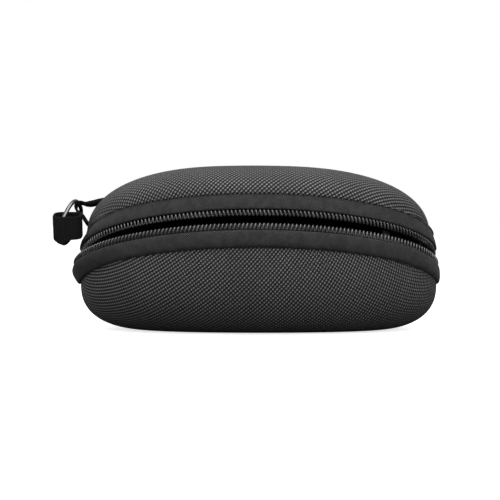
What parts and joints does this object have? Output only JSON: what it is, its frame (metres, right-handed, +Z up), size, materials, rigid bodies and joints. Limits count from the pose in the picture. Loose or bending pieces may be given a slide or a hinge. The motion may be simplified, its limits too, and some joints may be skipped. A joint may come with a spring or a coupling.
{
  "type": "eyeglasses case",
  "caption": "Hard eyeglasses case with a hinged domed lid, woven fabric covers, a coil zip along an arched rim and a ring with a ribbon loop at one end.",
  "frame": {"origin": "middle of the flat bottom that the case stands on", "axes": "+X along the case's length, away from the end that carries the ring; -Y towards the zip's front; +Z up"},
  "size_m": [0.1727, 0.0833, 0.074],
  "materials": {
    "woven_cover": "plain-weave nylon, matt with a light sheen on the threads",
    "rim_band": "smooth fine-knit binding",
    "zip_coil": "satin monofilament",
    "zip_tape": "herringbone tape, matt",
    "foam_shell": "moulded foam, matt",
    "lining": "brushed tricot, soft",
    "dark_metal": "black plated, satin",
    "ring_metal": "gunmetal plated wire, polished",
    "webbing": "ribbed grosgrain",
    "thread": "bonded polyester thread",
    "grey_tab": "matt"
  },
  "bodies": {
    "base": {"base_cover": "woven_cover", "base_core": "foam_shell", "base_lining": "lining", "base_band": "rim_band", "base_tape": "zip_tape", "base_coil": "zip_coil", "base_hinge_tape": "zip_tape", "base_stop_left": "dark_metal", "base_stop_right": "dark_metal", "inner_tab": "grey_tab"},
    "lid": {"lid_cover": "woven_cover", "lid_core": "foam_shell", "lid_lining": "lining", "lid_band": "rim_band", "lid_tape": "zip_tape", "lid_coil": "zip_coil", "lid_hinge_tape": "zip_tape", "lid_stop_left": "dark_metal", "lid_stop_right": "dark_metal", "side_loop": "webbing"},
    "slider": {"slider_body": "dark_metal", "slider_bridge": "dark_metal"},
    "puller": {"pull_tab": "dark_metal"},
    "ring": {"ring": "ring_metal"},
    "ribbon": {"ribbon_loop": "webbing", "ribbon_bartack": "thread"}
  },
  "joints": [
    {"name": "lid_hinge", "type": "hinge", "parent": "base", "child": "lid", "pos_m": [0, 0.0385, 0.0314], "axis": [-1, 0, 0], "range_deg": [-1.75, 95]},
    {"name": "slider_travel", "type": "hinge", "parent": "base", "child": "slider", "pos_m": [-0.045, 0, 0.0314], "axis": [0, 0, 1], "range_deg": [-18, 7]},
    {"name": "pull_tab_swing", "type": "hinge", "parent": "slider", "child": "puller", "pos_m": [-0.07283, 0.03012, 0.0309], "axis": [0, 0, 1], "range_deg": [0, 140]},
    {"name": "ring_swing", "type": "hinge", "parent": "lid", "child": "ring", "pos_m": [-0.07935, -0.00265, 0.05605], "axis": [-0.1709, -0.8646, 0.4725], "range_deg": [-140, 2]},
    {"name": "ribbon_swing", "type": "hinge", "parent": "ring", "child": "ribbon", "pos_m": [-0.0863, -0.01534, 0.0483], "axis": [-0.3914, -0.3805, -0.8379], "range_deg": [-11.5, 5]}
  ]
}
